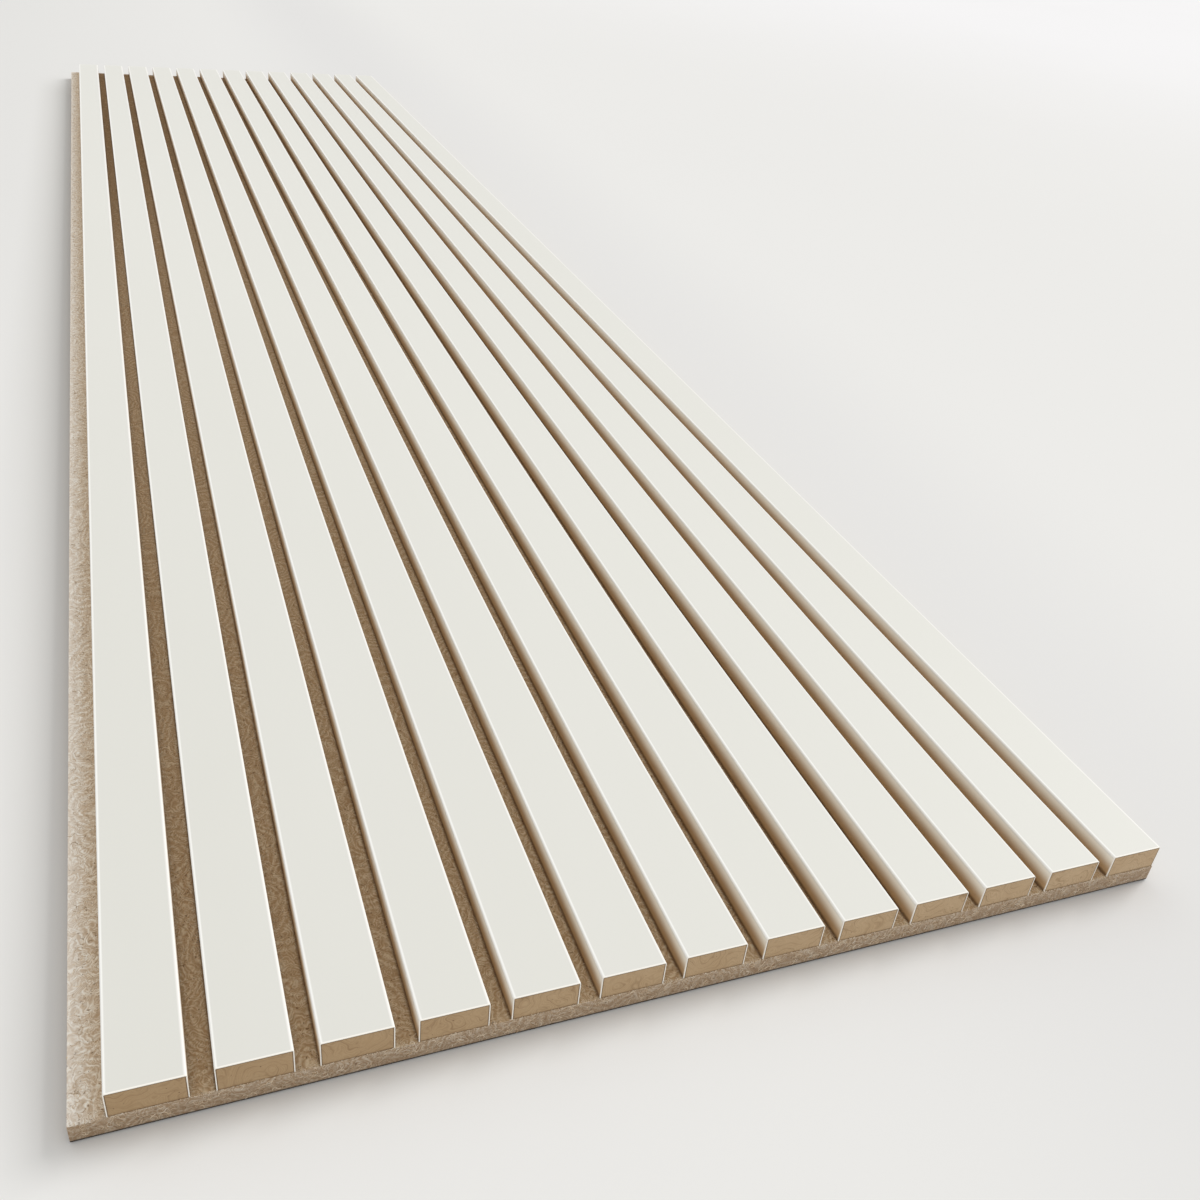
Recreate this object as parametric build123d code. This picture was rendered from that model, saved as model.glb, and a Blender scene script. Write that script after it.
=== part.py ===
from build123d import *
import os

# Acoustic slat panel: wrapped fibreboard slats side by side on one board of felt.
# The panel lies on its back. The origin is the centre of the felt's back face, +X runs
# across the slats, +Y along them and +Z out of the face that shows in the room.

# Driving sizes, in millimetres
panel_length = 2400.0  # felt and slats are cut to length together
slat_count = 13
slat_width = 34.5  # over the wrap
slat_gap = 11.25  # open channel between two slats
open_margin = 16.0  # felt left bare at -X, where the next panel's slats continue the rhythm
closed_margin = 0.5  # felt that stands out past the last slat at +X
felt_thickness = 12.0
core_thickness = 15.0  # the fibreboard sheet that the slats are sawn from
wrap_thickness = 0.5  # decor sheet bent over each core
core_arris_radius = 0.4  # eased long edges of the core, which the wrap follows

# Sizes that follow from them
pitch = slat_width + slat_gap
slats_width = slat_count * slat_width + (slat_count - 1) * slat_gap
felt_width = open_margin + slats_width + closed_margin
core_width = slat_width - 2 * wrap_thickness
slat_height = core_thickness + wrap_thickness
wrap_arris_radius = core_arris_radius + wrap_thickness
first_slat_x = -felt_width / 2 + open_margin + slat_width / 2


def felt_board():
    """The board of pressed felt, knife-cut square, with its back face at Z = 0."""
    base = (Align.CENTER, Align.CENTER, Align.MIN)
    return Box(felt_width, panel_length, felt_thickness, align=base)


def slat_section(width, height, arris):
    """A section that stands on the felt: square at its foot, eased at both top corners."""
    section = Rectangle(width, height, align=(Align.CENTER, Align.MIN))
    top_corners = section.vertices().group_by(Axis.Y)[-1]
    return fillet(top_corners, arris)


def along_panel(section):
    """A section run along the panel's whole length, with its foot on the felt."""
    run = extrude(Plane.XZ * section, panel_length / 2, both=True)
    return Pos(0, 0, felt_thickness) * run


def slat_core():
    """The bare fibreboard strip, seen at the slat's two sawn ends."""
    return along_panel(slat_section(core_width, core_thickness, core_arris_radius))


def slat_wrap():
    """The decor sheet: one even thickness over the core's face and both its sides."""
    outside = slat_section(slat_width, slat_height, wrap_arris_radius)
    inside = slat_section(core_width, core_thickness, core_arris_radius)
    return along_panel(outside - inside)


def write_node(name, shape):
    """One sub-part to its own file, named as the node is."""
    shape.label = name
    export_step(shape, f"parts/{name}.step")


os.makedirs("parts", exist_ok=True)
write_node("felt_backing", felt_board())
core = slat_core()
wrap = slat_wrap()
for number in range(slat_count):
    place = Pos(first_slat_x + number * pitch, 0, 0)
    write_node(f"slat_core_{number + 1:02d}", place * core)
    write_node(f"slat_wrap_{number + 1:02d}", place * wrap)
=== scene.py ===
# %% [markdown]
# # An acoustic slat panel
# The real panel is thirteen strips of fibreboard, each wrapped in a thin white decor sheet,
# fixed side by side on a board of pressed felt. Sound passes between the slats into the felt.
# The measured model is loaded first and never changes. This script only gives it its looks:
# finer wraps, a felt with real curled fibres, and a finish for every surface. It then adds a
# pale floor, soft light and a camera.

import math
import random

import bmesh
import bpy
from mathutils import Matrix, Vector


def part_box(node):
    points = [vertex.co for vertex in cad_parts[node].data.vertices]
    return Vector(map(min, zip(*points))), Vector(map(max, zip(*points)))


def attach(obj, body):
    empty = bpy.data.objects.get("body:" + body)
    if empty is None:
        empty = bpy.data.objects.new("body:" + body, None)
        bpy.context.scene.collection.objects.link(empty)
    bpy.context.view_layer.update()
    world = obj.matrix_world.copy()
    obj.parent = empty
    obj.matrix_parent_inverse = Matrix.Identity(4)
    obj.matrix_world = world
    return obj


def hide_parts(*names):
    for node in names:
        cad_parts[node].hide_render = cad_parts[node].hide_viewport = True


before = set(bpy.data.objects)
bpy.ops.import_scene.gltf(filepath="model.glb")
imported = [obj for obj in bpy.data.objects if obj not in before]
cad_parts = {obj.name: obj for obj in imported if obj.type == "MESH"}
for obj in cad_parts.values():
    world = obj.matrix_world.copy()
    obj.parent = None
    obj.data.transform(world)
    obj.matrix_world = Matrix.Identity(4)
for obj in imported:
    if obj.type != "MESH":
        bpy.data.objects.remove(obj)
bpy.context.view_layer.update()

# %% [markdown]
# ## Sizes that the looks need
# Every size is read from the boxes of the loaded pieces, so nothing here can drift away from
# the model. The distances used most are the step from one slat to the next, the width of a
# slat and the thickness of its wrap.

# %% Read the sizes from the model
def numbered(prefix):
    """The names of the pieces that repeat, in order across the panel."""
    return sorted(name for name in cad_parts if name.startswith(prefix))


core_names = numbered("slat_core")
wrap_names = numbered("slat_wrap")
felt_low, felt_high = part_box("felt_backing")
slat_low, slat_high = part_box(wrap_names[0])
core_low, core_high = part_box(core_names[0])
slat_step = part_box(wrap_names[1])[0].x - slat_low.x
slat_width = slat_high.x - slat_low.x
wrap_thickness = slat_high.z - core_high.z
millimetre = 0.001
print("slats:", len(wrap_names), "step:", round(slat_step, 5), "wrap:", round(wrap_thickness, 5))

# %% [markdown]
# ## The camera
# The photograph looks down along the slats from just beyond the near left corner. The camera's
# place, its three angles and its lens were fitted to the corners and long edges seen there.
# Three turns place it: roll about its own view, tilt down from level, and turn to the right.

# %% Place the camera
camera_place = Vector((-0.2338, -1.5507, 0.4951))
turn_right, look_down, roll = (math.radians(angle) for angle in (23.72, 32.39, 6.50))
lens_length = 35.53  # in millimetres, as the width of the film that it is for
film_width = 36.0
nearest_seen = 0.05
farthest_seen = 200.0

camera = bpy.data.objects.new("camera", bpy.data.cameras.new("camera"))
camera.data.lens = lens_length
camera.data.sensor_width = film_width
camera.data.clip_start = nearest_seen
camera.data.clip_end = farthest_seen
camera.matrix_world = (
    Matrix.Translation(camera_place)
    @ Matrix.Rotation(-turn_right, 4, "Z")
    @ Matrix.Rotation(math.radians(90) - look_down, 4, "X")
    @ Matrix.Rotation(roll, 4, "Z")
)
bpy.context.scene.collection.objects.link(camera)
bpy.context.scene.camera = camera
print("camera", [round(value, 3) for value in camera_place], "lens", lens_length)

# %% [markdown]
# ## Writing nodes as sums
# A finish is a web of nodes, and so is the recipe that scatters fibres over the felt. Drawing
# them by hand takes one node for every plus and times, so a small class wraps a socket and
# turns Python's own operators into Math nodes. Every other node comes from one method, which
# sets the node's options first and then fills or links its sockets.

# %% A socket that can be added and multiplied
class Shade:
    """A socket of a node web. Arithmetic on it adds Math nodes and gives a new socket."""

    def __init__(self, web, socket):
        self.web = web
        self.socket = socket

    def other(self, name):
        """Another output of the same node."""
        return Shade(self.web, self.socket.node.outputs[name])

    def maths(self, operation, *values):
        """A Math node fed with sockets, plain numbers or both."""
        return self.web.node("ShaderNodeMath", {"operation": operation}, dict(enumerate(values)))

    def __add__(self, other):
        return self.maths("ADD", self, other)

    def __sub__(self, other):
        return self.maths("SUBTRACT", self, other)

    def __rsub__(self, other):
        return self.maths("SUBTRACT", other, self)

    def __mul__(self, other):
        return self.maths("MULTIPLY", self, other)

    def __mod__(self, other):
        return self.maths("FLOORED_MODULO", self, other)

    def __pow__(self, other):
        return self.maths("POWER", self, other)

    def __abs__(self):
        return self.maths("ABSOLUTE", self)

    def least(self, other):
        return self.maths("MINIMUM", self, other)

    def most(self, other):
        return self.maths("MAXIMUM", self, other)

    def sine(self):
        return self.maths("SINE", self)

    __radd__ = __add__
    __rmul__ = __mul__


# %% The one method that adds a node
class Web:
    """A tree of nodes, for a finish or for laying out small things."""

    def __init__(self, tree):
        self.tree = tree

    def node(self, kind, settings=None, sockets=None, output=0):
        made = self.tree.nodes.new(kind)
        for name, value in (settings or {}).items():
            if name == "stops":
                self.set_stops(made.color_ramp, value)
            else:
                setattr(made, name, value)
        for name, value in (sockets or {}).items():
            if isinstance(value, Shade):
                self.tree.links.new(value.socket, made.inputs[name])
            else:
                made.inputs[name].default_value = value
        return Shade(self, made.outputs[output]) if made.outputs else None

    def set_stops(self, ramp, stops):
        """Gives a colour ramp its places and colours, from left to right."""
        while len(ramp.elements) < len(stops):
            ramp.elements.new(1.0)
        for element, (place, colour) in zip(ramp.elements, stops):
            element.position = place
            element.color = colour


# %% What every finish is made with
MIX_COLOURS = {"factor": 0, "first": 6, "second": 7, "result": 2}  # sockets of a colour Mix
drift_slope = 0.4  # how much a step along the slats counts beside the same step across them


class Finish(Web):
    """A material, with its patterns measured in metres on the panel itself."""

    def __init__(self, name):
        self.material = bpy.data.materials.new(name)
        self.material.use_nodes = True
        self.material.node_tree.nodes.clear()
        super().__init__(self.material.node_tree)
        self.place = self.node("ShaderNodeTexCoord", output="Object")
        self.x = self.node("ShaderNodeSeparateXYZ", {}, {0: self.place}, "X")
        self.y = self.x.other("Y")
        self.z = self.x.other("Z")

    def shifted(self, offset, stretch=(1, 1, 1)):
        """The panel's coordinates moved and stretched, so that two patterns never line up."""
        sockets = {"Vector": self.place, "Location": offset, "Scale": stretch}
        return self.node("ShaderNodeMapping", {}, sockets)

    def drift(self):
        """0 at the near left corner, rising to 1 at the right side and towards the far end."""
        reach = self.x + self.y * drift_slope
        start, end = (side + drift_slope * felt_low.y for side in (felt_low.x, felt_high.x))
        return self.node("ShaderNodeMapRange", {}, {0: reach, 1: start, 2: end})

    def noise(self, place, size, detail=2.0, rough=0.5, output=0):
        """Cloudy noise whose patches are about size metres wide."""
        sockets = {"Vector": place, "Scale": 1 / size, "Detail": detail, "Roughness": rough}
        return self.node("ShaderNodeTexNoise", {}, sockets, output)

    def fade(self, value, low, high):
        """0 where value is under low, 1 over high, and a smooth step between."""
        settings = {"interpolation_type": "SMOOTHSTEP"}
        return self.node("ShaderNodeMapRange", settings, {0: value, 1: low, 2: high})

    def mix(self, factor, first, second, blend="MIX"):
        """The first colour where factor is 0 and the second, blended in, where it is 1."""
        sockets = {"factor": factor, "first": first, "second": second}
        filled = {MIX_COLOURS[name]: value for name, value in sockets.items()}
        settings = {"data_type": "RGBA", "blend_type": blend}
        return self.node("ShaderNodeMix", settings, filled, MIX_COLOURS["result"])

    def layer(self, under, mask, tone, blend="MIX"):
        """Lays a tone, a colour and its strength, over another colour where mask is 1."""
        colour, strength = tone
        return self.mix(mask * strength, under, colour, blend)

    def bump(self, height, depth):
        """A normal from a height of 0 to 1, where 1 stands depth metres proud."""
        sockets = {"Height": height, "Distance": depth, "Strength": 1.0}
        return self.node("ShaderNodeBump", {}, sockets)

    def surface(self, sockets):
        """Closes the finish with its one shader."""
        shader = self.node("ShaderNodeBsdfPrincipled", {}, sockets)
        self.node("ShaderNodeOutputMaterial", {}, {"Surface": shader})
        print("finish", self.material.name, "nodes:", len(self.tree.nodes))
        return self.material


def paint(red, green, blue):
    """A colour as a picture editor shows it, 0 to 255, made linear by the sRGB curve."""
    def linear(value):
        share = value / 255
        return share / 12.92 if share <= 0.04045 else ((share + 0.055) / 1.055) ** 2.4

    return (*map(linear, (red, green, blue)), 1.0)


# %% [markdown]
# ## The decor wrap
# Each slat is wrapped over its face and both sides in one thin white sheet, folded tightly
# round the strip's long edges. It could be drawn point by point, but a box does it: lose the
# faces where the sheet is open, round the two folds, and give the sheet its thickness. The
# folds get many small steps here, because a thin bright line runs along every one of them.

# %% Turn a mesh into a piece of the panel
smooth_angle = math.radians(35)


def finish_piece(name, bm, material, replaced):
    """Makes the mesh a piece of the panel that stands for the measured ones."""
    mesh = bpy.data.meshes.new(name)
    bm.to_mesh(mesh)
    bm.free()
    mesh.materials.append(material)
    mesh.set_sharp_from_angle(angle=smooth_angle)
    piece = bpy.data.objects.new(name, mesh)
    bpy.context.scene.collection.objects.link(piece)
    piece.modifiers.new("flat faces stay flat", "WEIGHTED_NORMAL").keep_sharp = True
    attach(piece, "root")
    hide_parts(*replaced)
    return piece


def box_between(bm, low, high):
    """A box from its lowest to its highest corner."""
    bmesh.ops.create_cube(bm, size=1)
    bmesh.ops.scale(bm, vec=high - low, verts=bm.verts)
    bmesh.ops.translate(bm, vec=(low + high) / 2, verts=bm.verts)


# %% Model one wrap
fold_radius = 0.9 * millimetre  # the core's eased edge and the sheet bent over it
fold_steps = 6


def wrap_mesh(low, high):
    """A sheet folded over a strip: open at the foot and at both ends."""
    bm = bmesh.new()
    box_between(bm, low, high)
    bm.normal_update()
    # A face of the foot looks down, and one of an end looks along the slat
    open_faces = [f for f in bm.faces if f.normal.z < -0.5 or abs(f.normal.y) > 0.5]
    bmesh.ops.delete(bm, geom=open_faces, context="FACES")
    folds = [e for e in bm.edges if len(e.link_faces) == 2]
    bmesh.ops.bevel(
        bm, geom=folds, offset=fold_radius, segments=fold_steps,
        profile=0.5, affect="EDGES", material=-1,
    )
    bmesh.ops.solidify(bm, geom=bm.faces, thickness=wrap_thickness)
    for face in bm.faces:
        face.smooth = True
    return bm


# %% [markdown]
# ## The white of the wrap
# The sheet is a warm white with a satin face. Printed decor paper is very even, so its colour
# only clouds a little and has the faintest orange peel. It is painted a touch paler to the
# right and far away, as painted light. Two things stop it looking like plain plastic: the folds
# and cut edges carry painted highlights and are a little glossier, and the walls in the
# channels are painted with a tan cast, painted shade and light thrown back by the felt, which
# deepens to brown at their foot. Below the face, every wall is painted a paler white than the
# face, as painted light. The outer sides of the first and last slats stand in the open and
# keep that white, down to a thin line of painted shade where they meet the felt; in the
# channels that painted shade is wider. The painted highlight along a fold is a little wider
# towards the far end, so that it still shows there. The right folds face the lamp and their
# painted highlight is a shade duller than on the left ones, or they would burn out. The
# distance to a fold is found with sums on the panel's own coordinates, so one finish serves
# all thirteen wraps.

# %% Tones of the wrap
# The sheet is painted paler to the right and far away: painted light.
sheet_near_shaded, sheet_far_lit = paint(224, 223, 215), paint(232, 231, 223)
# Painted highlights along the folds; the right one is duller, because the lamp already lights it.
left_fold_highlight, right_fold_highlight = paint(255, 254, 249), paint(250, 248, 242)
# A painted highlight along the cut ends of the sheet, on the end and on the face.
cut_edge_highlight = paint(255, 251, 242)
cloud_white = (paint(234, 233, 227), 0.4)
# The walls below the face are painted paler than the face: painted light.
wall_painted_light = (paint(252, 247, 234), 0.8)
# Painted shade and light thrown back by the felt, deepening down the walls in the channels.
wall_foot_shade_tan = (paint(186, 153, 110), 0.95)
# Painted shade in the crease where every wall meets the felt, wider in the channels.
seam_shade_brown = (paint(116, 88, 58), 0.85)

fold_highlight_band = (0.8 * millimetre, 1.8 * millimetre)  # from the corner that the fold rounds off
cut_highlight_band = (0.3 * millimetre, 0.9 * millimetre)  # from the slat's end
wall_top = (0.8 * millimetre, 2.5 * millimetre)  # this and the next three: down from the face
foot_shade_depth = (1.5 * millimetre, 12 * millimetre)
wide_seam_shade = (12.5 * millimetre, 15.2 * millimetre)
thin_seam_shade = (14.3 * millimetre, 15.2 * millimetre)
print("the seam in a channel starts", wide_seam_shade[0], "m under the face, outside it", thin_seam_shade[0])

# %% Finish of the wrap
half_length = slat_high.y
first_side = (slat_low.x + millimetre, slat_low.x + 2 * millimetre)
last_side = (felt_high.x - 2.5 * millimetre, felt_high.x - 1.5 * millimetre)
right_half = (0.4 * slat_width, 0.6 * slat_width)
# The painted highlight on a fold widens towards the far end.
far_widening = 0.4  # how much nearer a fold counts at the far end, which widens its line
cloud_size = 0.06
peel_size, peel_depth = 0.9 * millimetre, 0.004 * millimetre


def wrap_finish():
    finish = Finish("white_decor_wrap")
    across = (finish.x - slat_low.x) % slat_step
    from_side = across.least(slat_width - across)
    from_top = slat_high.z - finish.z
    far_along = finish.fade(finish.y, -half_length, half_length / 2)
    from_fold = from_side.most(from_top) * (1 - far_along * far_widening)
    from_end = half_length - abs(finish.y)
    # fold is 1 where the painted highlight lies along a fold.
    fold = 1 - finish.fade(from_fold, *fold_highlight_band)
    # cut_edge is 1 where the painted highlight of a cut end lies.
    cut_edge = 1 - finish.fade(from_end, *cut_highlight_band)

    clouds = finish.noise(finish.shifted((0, 0, 0), (1, 0.2, 1)), cloud_size, detail=3)
    # Painted light: paler towards the right and the far end.
    sheet = finish.mix(finish.drift(), sheet_near_shaded, sheet_far_lit)
    sheet = finish.layer(sheet, clouds, cloud_white)
    # Painted light: the walls paler than the face.
    sheet = finish.layer(sheet, finish.fade(from_top, *wall_top), wall_painted_light)
    in_a_channel = finish.fade(finish.x, *first_side) * (1 - finish.fade(finish.x, *last_side))
    # Painted shade on the walls in the channels, browner towards their foot.
    sheet = finish.layer(sheet, finish.fade(from_top, *foot_shade_depth) * in_a_channel, wall_foot_shade_tan)
    # Painted shade at the foot of the walls: wide in the channels, a thin line outside them.
    channel_seam_shade = finish.fade(from_top, *wide_seam_shade) * in_a_channel
    seam = channel_seam_shade.most(finish.fade(from_top, *thin_seam_shade))
    sheet = finish.layer(sheet, seam, seam_shade_brown)
    # The right folds face the lamp, so their painted highlight is duller.
    on_the_right = finish.fade(across, *right_half)
    fold_highlight = finish.mix(on_the_right, left_fold_highlight, right_fold_highlight)
    colour = finish.mix(fold, sheet, fold_highlight)
    colour = finish.mix(cut_edge, colour, cut_edge_highlight)

    peel = finish.noise(finish.place, peel_size, detail=1)
    return finish.surface({
        "Base Color": colour,
        "Roughness": 0.52 + clouds * 0.08 - fold.most(cut_edge) * 0.14,
        "Specular IOR Level": 0.3,
        "Normal": finish.bump(peel, peel_depth),
    })


white_wrap = wrap_finish()
for name in wrap_names:
    piece = finish_piece(f"decor_{name}", wrap_mesh(*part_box(name)), white_wrap, [name])
print("wraps:", len(wrap_names), "faces each:", len(piece.data.polygons))

# %% [markdown]
# ## Winding lines
# Two of the surfaces are covered in fine winding lines: the sawn fibreboard and the felt. They
# run side by side in small whorls, as on a fingertip. Points are scattered through the board,
# and the sine of the distance to the nearest one draws evenly spaced rings round each point.
# A cloudy noise bends the coordinates first, so that no ring stays round.

# %% Draw whorls of lines
def whorls(finish, offset, size, spacing, bending=0.8, squeeze=1.0):
    """1 along each line and 0 midway between two. A power of it makes the lines thinner.

    Size is a whorl's width, spacing the step from line to line, bending how far a line is
    pushed about as a share of size, and a squeeze under 1 draws the whorls out along Y.
    """
    place = finish.shifted(offset, (1, squeeze, 1))
    bend = finish.noise(place, size * 0.5, detail=1.5, output="Color")
    furthest = (size * bending,) * 3
    settings = {"operation": "MULTIPLY_ADD"}
    bent = finish.node("ShaderNodeVectorMath", settings, {0: bend, 1: furthest, 2: place})
    sockets = {"Vector": bent, "Scale": 1 / size}
    to_point = finish.node("ShaderNodeTexVoronoi", {}, sockets, "Distance")
    return 1 - abs((to_point * (math.pi * size / spacing)).sine())


# %% [markdown]
# ## The sawn ends of the cores
# The strips are fibreboard: wood ground to fibre and pressed. The saw leaves a dull tan face
# with winding streaks where the fibres settled, dark specks of bark and a thin line of glue
# against the wrap. The face is painted a little darker down at the felt, as painted shade, and
# a little lighter towards the right and the far end, as painted light. The measured cores
# already have the right shape, so they stay, and only get this finish.

# %% Tones of the cores
dull_wood, pale_wood = paint(190, 163, 128), paint(218, 194, 161)
core_near_shaded, core_far_lit = paint(228, 221, 209), paint(255, 255, 255)
fine_streak, bold_streak = paint(152, 120, 82), paint(128, 95, 58)
stain_tan = (paint(190, 160, 122), 0.6)
bark_brown = (paint(104, 76, 46), 0.8)
low_painted_shade = (paint(212, 204, 192), 0.6)
glue_brown = (paint(96, 70, 42), 0.8)

mottle_size, stain_size = 1.1 * millimetre, 14 * millimetre
streak_size, patch_size = 24 * millimetre, 12 * millimetre
bold_spacing, fine_spacing = 4.3 * millimetre, 1.1 * millimetre
patch_range = (0.30, 0.70)  # of a noise: streaks are faint under it and strong over it
bark_size, bark_peaks = 1.6 * millimetre, (0.70, 0.78)
saw_relief = 0.08 * millimetre
low_band = (core_low.z, core_low.z + 2 * millimetre)
glue_line = (0.15 * millimetre, 0.7 * millimetre)  # from the core's rim
print("streaks on the cores are", bold_spacing, "and", fine_spacing, "m apart")

# %% Finish of the cores
core_width = slat_width - 2 * wrap_thickness


def core_finish():
    finish = Finish("sawn_fibreboard")
    mottle = finish.noise(finish.shifted((3, 1, 2)), mottle_size, detail=4, rough=0.7)
    stain = finish.noise(finish.shifted((1, 5, 4)), stain_size, detail=2)
    colour = finish.mix(mottle, dull_wood, pale_wood)
    colour = finish.layer(colour, stain, stain_tan)
    # Painted light: the sawn ends lighter towards the right and the far end.
    tone = finish.mix(finish.drift(), core_near_shaded, core_far_lit)
    colour = finish.mix(1.0, colour, tone, "MULTIPLY")
    bold = whorls(finish, (7, 2, 3), streak_size, bold_spacing) ** 5
    fine = whorls(finish, (7, 2, 3), streak_size, fine_spacing)
    patches = finish.noise(finish.shifted((5, 3, 1)), patch_size, detail=2)
    patches = finish.fade(patches, *patch_range)
    colour = finish.mix(fine * (0.15 + patches * 0.3), colour, fine_streak)
    colour = finish.mix(bold * (0.1 + patches * 0.5), colour, bold_streak)
    bark = finish.noise(finish.shifted((2, 9, 6)), bark_size, detail=1)
    colour = finish.layer(colour, finish.fade(bark, *bark_peaks), bark_brown)

    across = (finish.x - core_low.x) % slat_step
    from_side = across.least(core_width - across)
    from_rim = from_side.least(core_high.z - finish.z).least(finish.z - core_low.z)
    # Painted shade: the sawn face darker down at the felt.
    low_down = 1 - finish.fade(finish.z, *low_band)
    colour = finish.layer(colour, low_down, low_painted_shade, "MULTIPLY")
    colour = finish.layer(colour, 1 - finish.fade(from_rim, *glue_line), glue_brown)
    return finish.surface({
        "Base Color": colour,
        "Roughness": 0.82 + mottle * 0.1,
        "Normal": finish.bump(mottle, saw_relief),
    })


fibreboard = core_finish()
for name in core_names:
    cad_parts[name].data.materials.clear()
    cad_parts[name].data.materials.append(fibreboard)

# %% [markdown]
# ## The felt board
# The felt is fibre pressed into a board and cut with a knife, so its edges are crisp but not
# hard. Its lower edges are rounder than its upper ones, which shades a thin line where the
# board meets the floor, and the finish deepens that line with a painted shadow. It is one box
# with its edges bevelled twice.

# %% Model the felt board
knife_edge = 0.5 * millimetre
lower_edge = 1.2 * millimetre


def soften(bm, edges, offset):
    """Rounds some edges of the board by this much."""
    bmesh.ops.bevel(
        bm, geom=edges, offset=offset, segments=3,
        profile=0.5, affect="EDGES", material=-1,
    )


def felt_mesh():
    """The board, with its lower edges rounded and its upper ones just softened."""
    bm = bmesh.new()
    box_between(bm, felt_low, felt_high)
    middle = (felt_low.z + felt_high.z) / 2
    soften(bm, [e for e in bm.edges if all(v.co.z < middle for v in e.verts)], lower_edge)
    soften(bm, [e for e in bm.edges if all(v.co.z > middle for v in e.verts)], knife_edge)
    for face in bm.faces:
        face.smooth = True
    return bm


# %% [markdown]
# ## The look of the felt
# Seen close, the felt is a beige-brown mat of curled fibres, pale ones over darker ones, with
# white specks and small dark flecks between them. The deeper fibres are only painted, as
# winding lines in three sizes. In the channels the felt is painted a deeper brown than on the
# open margin, and deeper still towards the far end, as painted shade. The margin is painted
# paler towards its outer side, as painted light, and darker beside the slats, as painted
# shade. Along the foot of each slat's left wall the felt is painted darker still, as painted
# shade. The cut faces are duller, because the knife has closed the fibres up, and a touch
# lighter towards the right and the far end, as painted light. They are painted paler towards
# their upper rim, as painted light, and end in a painted shadow, a dark line on the floor.

# %% Tones of the felt
dull_wool, pale_wool = paint(246, 226, 202), paint(255, 253, 243)
channel_shade_tint, far_channel_shade_tint = paint(221, 207, 184), paint(180, 159, 129)
cut_tint, far_cut_tint_lit = paint(188, 175, 160), paint(193, 180, 166)
blotch_tan = (paint(252, 235, 214), 0.4)
curl_white, between_curls = (paint(255, 253, 245), 0.8), (paint(184, 157, 126), 0.68)
wide_white, between_wide = (paint(255, 252, 243), 0.45), (paint(196, 169, 138), 0.45)
fleck_brown, speck_white = (paint(132, 106, 78), 0.75), (paint(250, 246, 238), 1.0)
upper_rim_light, outer_painted_light = (paint(255, 250, 244), 0.2), (paint(255, 248, 238), 0.35)
beside_painted_shade, foot_painted_shade = (paint(231, 222, 210), 1.0), (paint(150, 134, 116), 0.8)
floor_contact_shadow = (paint(50, 42, 34), 1.0)
print("tint of the channels:", [round(value, 2) for value in channel_shade_tint[:3]])

# %% Patterns of the felt
wool_size, wool_range = 0.7 * millimetre, (0.3, 0.7)
blotch_size, blotch_range = 9 * millimetre, (0.44, 0.56)
fleck_size, fleck_peaks = 1.9 * millimetre, (0.66, 0.74)
speck_size, speck_peaks = 1.4 * millimetre, (0.80, 0.84)

# The size of a whorl, the spacing of its lines, their bending and the squeeze
large_whorls = (11 * millimetre, 1.5 * millimetre, 0.7, 0.8)
small_whorls = (6 * millimetre, 1.2 * millimetre, 0.8, 1.0)
wide_whorls = (30 * millimetre, 3.2 * millimetre, 0.45, 0.7)
print("widths of the felt's whorls:", small_whorls[0], large_whorls[0], wide_whorls[0])

# %% Places on the felt
felt_face = (felt_high.z - 0.7 * millimetre, felt_high.z - 0.2 * millimetre)
upper_rim = (5 * millimetre, 11.5 * millimetre)
at_floor = (1.2 * millimetre, 2.0 * millimetre)
outer_band = (felt_low.x + 1 * millimetre, felt_low.x + 10 * millimetre)
inner_band = (felt_low.x + 4 * millimetre, slat_low.x)
under_first_slat = (slat_low.x, slat_low.x + slat_width)
# Along Y the painted shade in the channels deepens here.
far_part = (-0.3, 0.6)  # where the channels deepen, along Y
slat_foot = (0.1 * millimetre, 1.6 * millimetre)  # from the wall on a channel's right
felt_relief = 0.12 * millimetre
print("the felt is", round(felt_high.z, 4), "m thick and its relief", felt_relief, "m deep")

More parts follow.
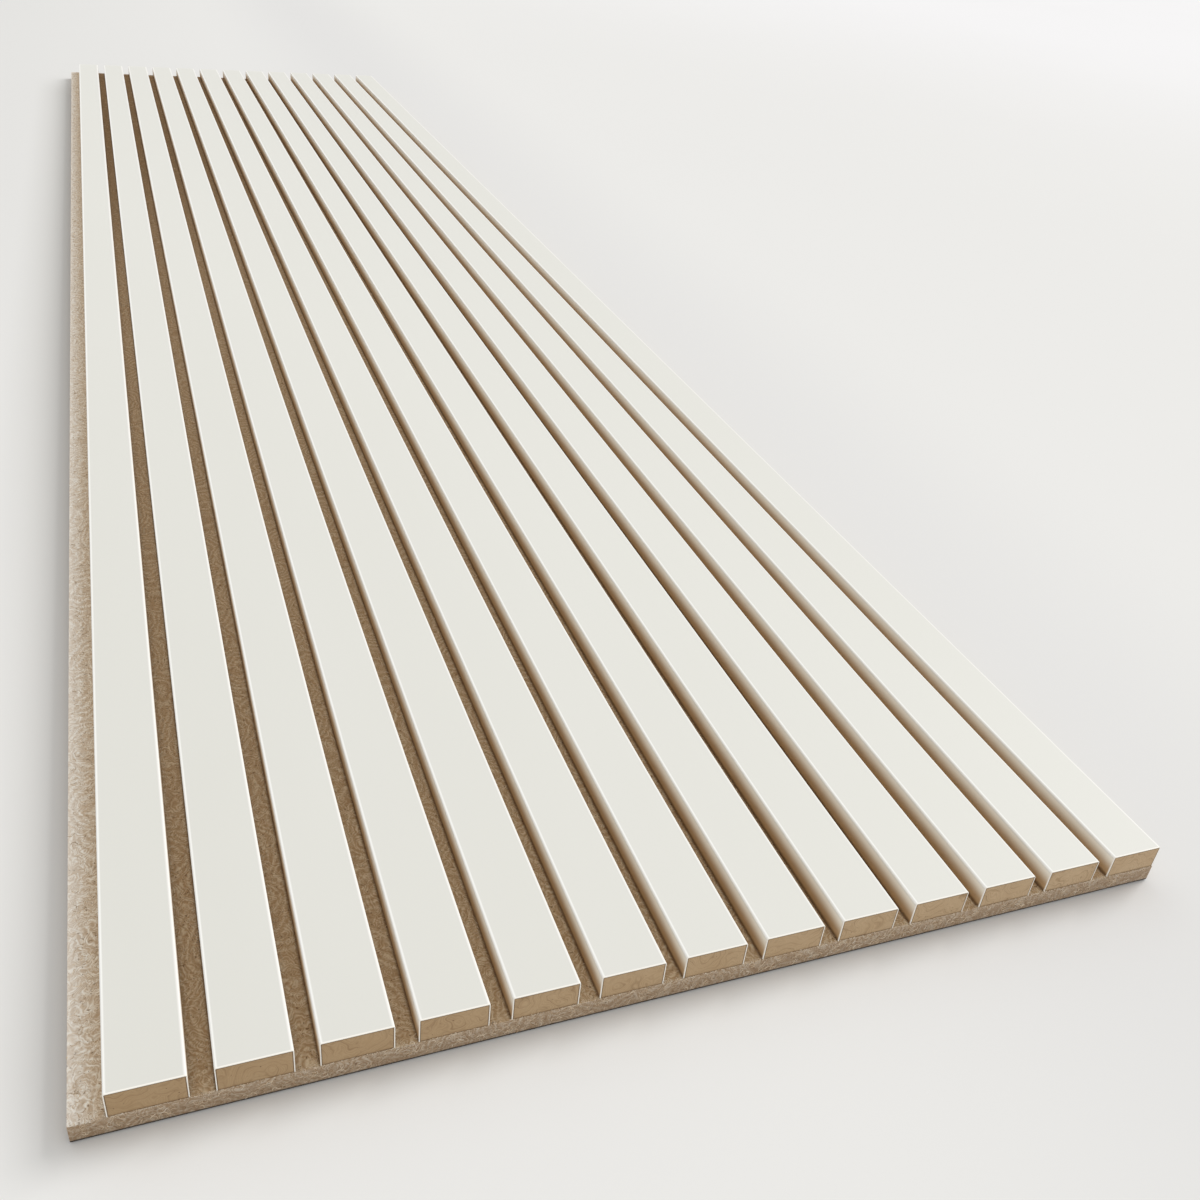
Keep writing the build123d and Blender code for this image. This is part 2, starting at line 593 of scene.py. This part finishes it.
# %% Finish of the felt
def felt_finish():
    finish = Finish("pressed_felt")
    wool = finish.noise(finish.shifted((4, 2, 8)), wool_size, detail=4, rough=0.75)
    blotch = finish.noise(finish.shifted((6, 1, 3)), blotch_size, detail=3)
    wool = finish.fade(wool, *wool_range)
    colour = finish.mix(wool, dull_wool, pale_wool)
    colour = finish.layer(colour, blotch, blotch_tan)

    large = whorls(finish, (5, 8, 1), *large_whorls)
    small = whorls(finish, (9, 3, 7), *small_whorls)
    wide = whorls(finish, (3, 6, 9), *wide_whorls)
    patches = finish.fade(blotch, *blotch_range)
    curls = (large * patches).most(small * (1 - patches))
    colour = finish.layer(colour, curls ** 2, curl_white)
    colour = finish.layer(colour, (1 - curls) ** 2, between_curls)
    colour = finish.layer(colour, wide ** 4, wide_white)
    colour = finish.layer(colour, (1 - wide) ** 3, between_wide)

    flecks = finish.noise(finish.shifted((2, 2, 5)), fleck_size, detail=1)
    colour = finish.layer(colour, finish.fade(flecks, *fleck_peaks), fleck_brown)
    specks = finish.noise(finish.shifted((8, 6, 2)), speck_size, detail=0)
    colour = finish.layer(colour, finish.fade(specks, *speck_peaks), speck_white)

    on_face = finish.fade(finish.z, *felt_face)
    in_channels = finish.fade(finish.x, *under_first_slat)
    # Painted shade: the felt in the channels darker, more so towards the far end.
    channel_shade = finish.mix(finish.fade(finish.y, *far_part), channel_shade_tint, far_channel_shade_tint)
    colour = finish.mix(in_channels * on_face, colour, channel_shade, "MULTIPLY")
    # Painted light: the cut faces a touch lighter towards the right and the far end.
    cut_shade = finish.mix(finish.drift(), cut_tint, far_cut_tint_lit)
    # Painted light: the cut faces paler towards their upper rim.
    cut_shade = finish.layer(cut_shade, finish.fade(finish.z, *upper_rim), upper_rim_light)
    colour = finish.mix(1 - on_face, colour, cut_shade, "MULTIPLY")
    # Painted shade on the margin, darker towards the first slat.
    beside_slats = finish.fade(finish.x, *inner_band) * (1 - in_channels) * on_face
    colour = finish.layer(colour, beside_slats, beside_painted_shade, "MULTIPLY")
    # Painted light: the margin paler towards its outer side, away from the slat.
    outer_side = (1 - finish.fade(finish.x, *outer_band)) * on_face
    colour = finish.layer(colour, outer_side, outer_painted_light)
    # Painted shade on the felt along the foot of each slat's left wall.
    to_foot = slat_step - (finish.x - slat_low.x) % slat_step
    at_foot = (1 - finish.fade(to_foot, *slat_foot)) * on_face
    colour = finish.layer(colour, at_foot, foot_painted_shade, "MULTIPLY")
    # Painted shadow: a dark line where the board meets the floor.
    colour = finish.layer(colour, 1 - finish.fade(finish.z, *at_floor), floor_contact_shadow)

    return finish.surface({
        "Base Color": colour,
        "Roughness": 0.95,
        "Sheen Weight": 0.1,
        "Specular IOR Level": 0.2,
        "Normal": finish.bump(wool * 0.5 + curls * 0.5, felt_relief),
    })


felt = finish_piece("felt_board", felt_mesh(), felt_finish(), ["felt_backing"])
print("felt board faces:", len(felt.data.polygons))

# %% [markdown]
# ## The fibres that stand proud
# Loose fibres lie curled on the felt wherever it shows. Painted ones would look flat, so these
# are real: eight kinds of short strand are modelled and laid down thousands of times. A strand
# is a three-sided ring, spun about one point and then about another, which gives it two bends.
# Three sides are enough, because a strand is about a pixel thick in the picture at most.

# %% Choose how the strands bend
chance = random.Random(4)
strand_kinds = 8
bend_radii = (0.7 * millimetre, 1.8 * millimetre)
bend_turns = (math.radians(50), math.radians(130))


def one_bend(way):
    return chance.uniform(*bend_radii), way * chance.uniform(*bend_turns)


def strand_bends():
    """Two bends, the second the other way round in about one strand of three."""
    way = chance.choice((-1, 1))
    next_way = way * chance.choice((1, 1, -1))
    return [one_bend(way), one_bend(next_way)]


# %% Model one strand
strand_radius = 0.23 * millimetre
tip_share = 0.45  # a strand's ends are this much of its middle
steps_per_bend = 3
map_scale = 1 / (8 * bend_radii[1])  # keeps a strand's map within a quarter either way


def middle_of(verts):
    return sum((vert.co for vert in verts), Vector()) / len(verts)


def strand_mesh(bends):
    """One curled fibre that lies flat, closed at both ends."""
    bm = bmesh.new()
    bmesh.ops.create_circle(bm, cap_ends=True, segments=3, radius=strand_radius)
    bmesh.ops.rotate(bm, matrix=Matrix.Rotation(math.radians(90), 3, "X"), verts=bm.verts)
    rings = [bm.verts[:]]
    tip = bm.faces[:] + bm.edges[:] + bm.verts[:]
    heading = math.radians(90)
    for radius, turn in bends:
        inwards = Vector((-math.sin(heading), math.cos(heading), 0)) * math.copysign(radius, turn)
        tip = bmesh.ops.spin(
            bm, geom=tip, cent=middle_of(rings[-1]) + inwards, axis=(0, 0, 1),
            angle=turn, steps=steps_per_bend,
        )["geom_last"]
        rings.append([part for part in tip if isinstance(part, bmesh.types.BMVert)])
        heading += turn
    for ring in (rings[0], rings[-1]):
        at_tip = Matrix.Translation(-middle_of(ring))
        bmesh.ops.scale(bm, vec=(tip_share,) * 3, space=at_tip, verts=ring)
    bmesh.ops.translate(bm, vec=-middle_of(bm.verts) * Vector((1, 1, 0)), verts=bm.verts)
    bmesh.ops.recalc_face_normals(bm, faces=bm.faces)
    return bm


# %% [markdown]
# Each strand needs a colour of its own, from dark tan to nearly white. A number between 0 and
# 1, drawn by chance for every strand, becomes its place across a flat map, and the finish
# reads that map through a ramp of colours.

# %% Finish of the fibres
fibre_colours = [
    (0.00, paint(150, 126, 98)),
    (0.12, paint(206, 187, 163)),
    (0.50, paint(236, 221, 201)),
    (0.85, paint(252, 243, 228)),
    (0.97, paint(255, 253, 248)),
]


def fibre_finish(name, tint):
    finish = Finish(name)
    chart = finish.node("ShaderNodeUVMap", {"uv_map": "OFBake"})
    shade = finish.node("ShaderNodeSeparateXYZ", {}, {0: chart})
    colour = finish.node("ShaderNodeValToRGB", {"stops": fibre_colours}, {0: shade})
    return finish.surface({
        "Base Color": finish.mix(1.0, colour, tint, "MULTIPLY"),
        "Roughness": 0.85,
        "Specular IOR Level": 0.3,
    })


fibre_looks = {
    "margin": fibre_finish("margin_fibre", paint(255, 250, 242)),
    # The fibres in the channels are tinted darker like the felt there: painted shade.
    "channel": fibre_finish("channel_fibre", paint(226, 212, 192)),
    "cut": fibre_finish("cut_fibre", paint(235, 226, 213)),
}

# %% Keep one collection of strands for each colour
def strand_object(name, bm, material):
    """A strand with its map, shaded smooth."""
    chart = bm.loops.layers.uv.new("OFBake")
    for face in bm.faces:
        face.smooth = True
        for loop in face.loops:
            loop[chart].uv = loop.vert.co.xy * map_scale
    mesh = bpy.data.meshes.new(name)
    bm.to_mesh(mesh)
    bm.free()
    mesh.materials.append(material)
    return bpy.data.objects.new(name, mesh)


all_bends = [strand_bends() for kind in range(strand_kinds)]
strands = {}
for look, material in fibre_looks.items():
    strands[look] = bpy.data.collections.new(f"{look}_strands")
    for kind, bends in enumerate(all_bends):
        strand = strand_object(f"{look}_strand_{kind}", strand_mesh(bends), material)
        strands[look].objects.link(strand)
print("strands:", strand_kinds, "faces each:", len(strand.data.polygons))

# %% [markdown]
# ## Laying the fibres down
# Thousands of strands can't be placed one by one. Geometry Nodes does it: it scatters points
# over flat patches of felt, sets a strand on each, turns, tilts and sizes it by chance, and
# makes the result plain mesh. The scatter has a seed, so it comes out the same every time.

# %% Mark out where strands go
def add_patch(bm, low, high, facing):
    """A flat patch between two corners that differ along two axes only, facing outwards."""
    turn = facing.to_track_quat("Z", "Y").to_matrix()
    sides = turn.transposed() @ (high - low)
    size = Matrix.Diagonal((abs(sides.x), abs(sides.y), 1, 1))
    place = Matrix.Translation((low + high) / 2) @ turn.to_4x4() @ size
    bmesh.ops.create_grid(bm, x_segments=1, y_segments=1, size=0.5, matrix=place)


# %% Scatter strands over patches
shade_share = 0.92  # of the map's width goes to the chance shade, the rest to a strand's own map


def scatter_web(name, look, density, seed, tilt, sizes):
    """The recipe: points, a strand on each, a shade for each, then one mesh."""
    web = Web(bpy.data.node_groups.new(name, "GeometryNodeTree"))
    for way in ("INPUT", "OUTPUT"):
        web.tree.interface.new_socket("Geometry", in_out=way, socket_type="NodeSocketGeometry")
    random_node = "FunctionNodeRandomValue"
    patches = web.node("NodeGroupInput")
    points = web.node(
        "GeometryNodeDistributePointsOnFaces", {},
        {"Mesh": patches, "Density": density, "Seed": seed},
    )
    turn_range = {0: (-tilt, -tilt, 0), 1: (tilt, tilt, math.tau), "Seed": seed + 1}
    turns = web.node(random_node, {"data_type": "FLOAT_VECTOR"}, turn_range)
    turns = web.node("FunctionNodeEulerToRotation", {}, {0: turns})
    turned = web.node(
        "FunctionNodeRotateRotation", {"rotation_space": "LOCAL"},
        {"Rotation": points.other("Rotation"), "Rotate By": turns},
    )
    sized = web.node(random_node, {}, {2: sizes[0], 3: sizes[1], "Seed": seed + 2}, 1)
    kinds = web.node(
        "GeometryNodeCollectionInfo", {},
        {"Collection": strands[look], "Separate Children": True, "Reset Children": True},
    )
    laid = web.node("GeometryNodeInstanceOnPoints", {}, {
        "Points": points, "Instance": kinds, "Pick Instance": True,
        "Rotation": turned, "Scale": sized,
    })
    chance_shade = web.node(random_node, {}, {2: 0.0, 3: shade_share, "Seed": seed + 3}, 1)
    shaded = web.node(
        "GeometryNodeStoreNamedAttribute", {"data_type": "FLOAT", "domain": "INSTANCE"},
        {"Geometry": laid, "Name": "shade", "Value": chance_shade},
    )
    return web, web.node("GeometryNodeRealizeInstances", {}, {"Geometry": shaded})


# %% Give every strand its place on the map
def add_map(web, fibres):
    """Slides each strand's map to the place of its shade, and ends the recipe."""
    name_node = "GeometryNodeInputNamedAttribute"
    own = web.node(name_node, {"data_type": "FLOAT_VECTOR"}, {"Name": "OFBake"})
    shade = web.node(name_node, {"data_type": "FLOAT"}, {"Name": "shade"})
    x = web.node("ShaderNodeSeparateXYZ", {}, {0: own})
    spare = (1 - shade_share) / 2
    along = shade + spare + x * spare
    chart = web.node("ShaderNodeCombineXYZ", {}, {0: along, 1: x.other("Y") + 0.5})
    mapped = web.node(
        "GeometryNodeStoreNamedAttribute", {"data_type": "FLOAT2", "domain": "CORNER"},
        {"Geometry": fibres, "Name": "OFBake", "Value": chart},
    )
    web.node("NodeGroupOutput", {}, {0: mapped})
    return web.tree


# %% Make one piece of many strands
lying_tilt = math.radians(6)
lying_sizes = (0.7, 1.2)


def lay_fibres(name, look, patches, density, tilt=lying_tilt, sizes=lying_sizes):
    """Covers some patches of felt in strands, as one piece of plain mesh."""
    bm = bmesh.new()
    for patch in patches:
        add_patch(bm, *patch)
    ground = bpy.data.objects.new("ground", bpy.data.meshes.new("ground"))
    bm.to_mesh(ground.data)
    bm.free()
    bpy.context.scene.collection.objects.link(ground)
    seed = chance.randrange(1000)
    recipe = add_map(*scatter_web(name, look, density, seed, tilt, sizes))
    ground.modifiers.new("fibres", "NODES").node_group = recipe
    depsgraph = bpy.context.evaluated_depsgraph_get()
    mesh = bpy.data.meshes.new_from_object(
        ground.evaluated_get(depsgraph), preserve_all_data_layers=True, depsgraph=depsgraph,
    )
    bpy.data.objects.remove(ground)
    mesh.name = name
    piece = bpy.data.objects.new(name, mesh)
    bpy.context.scene.collection.objects.link(piece)
    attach(piece, "root")
    mesh.calc_loop_triangles()
    print(name, "triangles:", len(mesh.loop_triangles))
    return len(mesh.loop_triangles)


# %% [markdown]
# The fibres lie closest on the two cut ends and the open margin, thinner on the two long sides
# and thinnest in the channels. A strand lies across its point, so a patch stops short of the
# board's own edges by about half a strand. On the long sides the strands lie quite flat and
# are sunk a little into the board, because the next panel is pushed against them.

# %% Patches of felt that show
rim = 1.0 * millimetre  # kept free along an upper edge
outer_rim = 2.2 * millimetre  # kept free along an outer side
sunk = 0.12 * millimetre
above_floor = 3.0 * millimetre
up, left, right = Vector((0, 0, 1)), Vector((-1, 0, 0)), Vector((1, 0, 0))
near, far = Vector((0, -1, 0)), Vector((0, 1, 0))
x0, x1, y0, y1 = felt_low.x, felt_high.x, felt_low.y, felt_high.y
top, low_edge, high_edge = felt_high.z, felt_low.z + above_floor, felt_high.z - rim


def channel_patch(number):
    """The felt between this slat and the next."""
    start = slat_high.x + number * slat_step
    end = slat_low.x + (number + 1) * slat_step
    return Vector((start, y0 + rim, top)), Vector((end, y1 - rim, top)), up


def margin_patch(start, end):
    return Vector((x0 + outer_rim, start, top)), Vector((slat_low.x, end, top)), up


def end_patch(y, facing):
    low = Vector((x0 + outer_rim, y, low_edge))
    return low, Vector((x1 - outer_rim, y, high_edge)), facing


def side_patch(x, facing):
    under = x - facing.x * sunk
    low = Vector((under, y0 + outer_rim, low_edge))
    return low, Vector((under, y1 - outer_rim, high_edge)), facing


channels = [channel_patch(number) for number in range(len(wrap_names) - 1)]
halfway = len(channels) // 2
print("channels:", len(channels), "in two pieces of", halfway)

# %% Cover the margin, the edges and the channels
per_square_millimetre = 1 / millimetre ** 2
margin_density = 0.09 * per_square_millimetre
end_density = 0.14 * per_square_millimetre
side_density = 0.05 * per_square_millimetre
channel_density = 0.015 * per_square_millimetre

ends = [end_patch(y0, near), end_patch(y1, far)]
sides = [side_patch(x0, left), side_patch(x1, right)]
fibre_triangles = sum((
    lay_fibres("margin_fibres_near", "margin", [margin_patch(y0 + rim, 0)], margin_density),
    lay_fibres("margin_fibres_far", "margin", [margin_patch(0, y1 - rim)], margin_density),
    lay_fibres("cut_fibres_ends", "cut", ends, end_density),
    lay_fibres("cut_fibres_sides", "cut", sides, side_density, tilt=0.0),
    lay_fibres("channel_fibres_left", "channel", channels[:halfway], channel_density),
    lay_fibres("channel_fibres_right", "channel", channels[halfway:], channel_density),
))
print("triangles of fibre:", fibre_triangles)

# %% [markdown]
# Where the knife left the board, short fibres stick up along its upper edges and catch the
# light. They come from the same recipe on a very narrow patch, with more tilt.

# %% Add the fuzz along the cut edges
fuzz_width = 0.8 * millimetre
fuzz_density = 2.2 * per_square_millimetre
fuzz_tilt = math.radians(40)
fuzz_sizes = (0.35, 0.65)


def fuzz_patch(y):
    half = fuzz_width / 2
    return Vector((x0, y - half, top)), Vector((x1, y + half, top)), up


edges = [fuzz_patch(y0 + fuzz_width / 2), fuzz_patch(y1 - fuzz_width / 2)]
lay_fibres("fuzz_along_ends", "margin", edges, fuzz_density, fuzz_tilt, fuzz_sizes)

# %% [markdown]
# ## The floor and the light
# The panel lies on a plain pale floor that runs on past the picture's edge. It is one flat
# sheet, whose tone changes slowly, and these changes are painted light and shade: painted
# lighter towards the right and the distance, a touch darker on the far left, a painted shadow
# close beside the panel on the right, and a painted shadow along its left side, which deepens
# the cast shadow there. An even white sky does most of the lighting, so shadows are soft. One
# wide weak lamp stands on the right, a little under half way up, and it throws the broader
# shadow on the left.

# %% Tones of the floor
# Painted light and shade on the floor: lighter to the right and far away, duller on the far left.
near_left_tone, far_left_tone = paint(233, 232, 229), paint(227, 226, 223)
right_tone, beside_right_shadow = paint(237, 236, 233), paint(230, 229, 227)
distant_light_tone = paint(247, 246, 246)
left_painted_shadow = (paint(218, 217, 215), 1.0)
cloud_tone = (paint(222, 221, 219), 0.08)

# Where each tone starts and is full, in metres: first along X, then along Y
rightwards = (-0.9, 0.4)
under_panel = (0, felt_high.x)
past_right_edge = (felt_high.x, 0.65)
left_approach = (-0.37, -0.31)
backwards = (-1.1, 0.4)
past_near_corner, along_left_side = (-1.23, -1.15), (-1.2, -0.2)
past_far_end = (1.05, 1.25)
corner_share = 0.4  # of the darkening on the left, already there at the near corner
distance = (1.2, 5.0)  # along the slanting reach that drift_slope gives
print("the floor darkens from", past_near_corner[0], "to", past_far_end[1], "m along the left")

# %% Lay the floor
floor_half = 40.0
cloud_width = 0.8


def floor_finish():
    finish = Finish("pale_floor")
    cloud = finish.noise(finish.place, cloud_width, detail=2)
    to_right = finish.fade(finish.x, *rightwards)
    left_tone = finish.mix(finish.fade(finish.y, *backwards), near_left_tone, far_left_tone)
    colour = finish.mix(to_right, left_tone, right_tone)
    beside = finish.fade(finish.x, *under_panel) * (1 - finish.fade(finish.x, *past_right_edge))
    # Painted shadow on the floor beside the panel's right side.
    colour = finish.mix(beside, colour, beside_right_shadow)
    at_corner = finish.fade(finish.y, *past_near_corner)
    further_on = finish.fade(finish.y, *along_left_side)
    deepening = at_corner * corner_share + further_on * (1 - corner_share)
    left_side = finish.fade(finish.x, *left_approach) * deepening * (1 - to_right)
    left_side = left_side * (1 - finish.fade(finish.y, *past_far_end))
    # Painted shadow on the floor along the panel's left side.
    colour = finish.layer(colour, left_side, left_painted_shadow, "MULTIPLY")
    reach = finish.x + finish.y * drift_slope
    colour = finish.mix(finish.fade(reach, *distance), colour, distant_light_tone)
    colour = finish.layer(colour, cloud, cloud_tone)
    return finish.surface({"Base Color": colour, "Roughness": 0.9, "Specular IOR Level": 0.1})


bm = bmesh.new()
bmesh.ops.create_grid(bm, x_segments=1, y_segments=1, size=floor_half)
floor_mesh = bpy.data.meshes.new("floor")
bm.to_mesh(floor_mesh)
bm.free()
floor_mesh.materials.append(floor_finish())
floor = bpy.data.objects.new("floor", floor_mesh)
bpy.context.scene.collection.objects.link(floor)

# %% Light the panel
sky_strength = 0.72
lamp_from = Vector((0.76, 0.24, 0.60))
lamp_spread = math.radians(24)
lamp_strength = 1.46

world = bpy.data.worlds.new("sky")
world.use_nodes = True
world.node_tree.nodes["Background"].inputs["Color"].default_value = (1.0, 1.0, 1.0, 1.0)
world.node_tree.nodes["Background"].inputs["Strength"].default_value = sky_strength
bpy.context.scene.world = world

lamp = bpy.data.objects.new("soft_lamp", bpy.data.lights.new("soft_lamp", "SUN"))
lamp.data.energy = lamp_strength
lamp.data.angle = lamp_spread
lamp.matrix_world = lamp_from.to_track_quat("Z", "Y").to_matrix().to_4x4()
bpy.context.scene.collection.objects.link(lamp)
bpy.context.scene.view_settings.view_transform = "Standard"
print("sky", sky_strength, "lamp", lamp_strength, "from", [round(value, 2) for value in lamp_from])
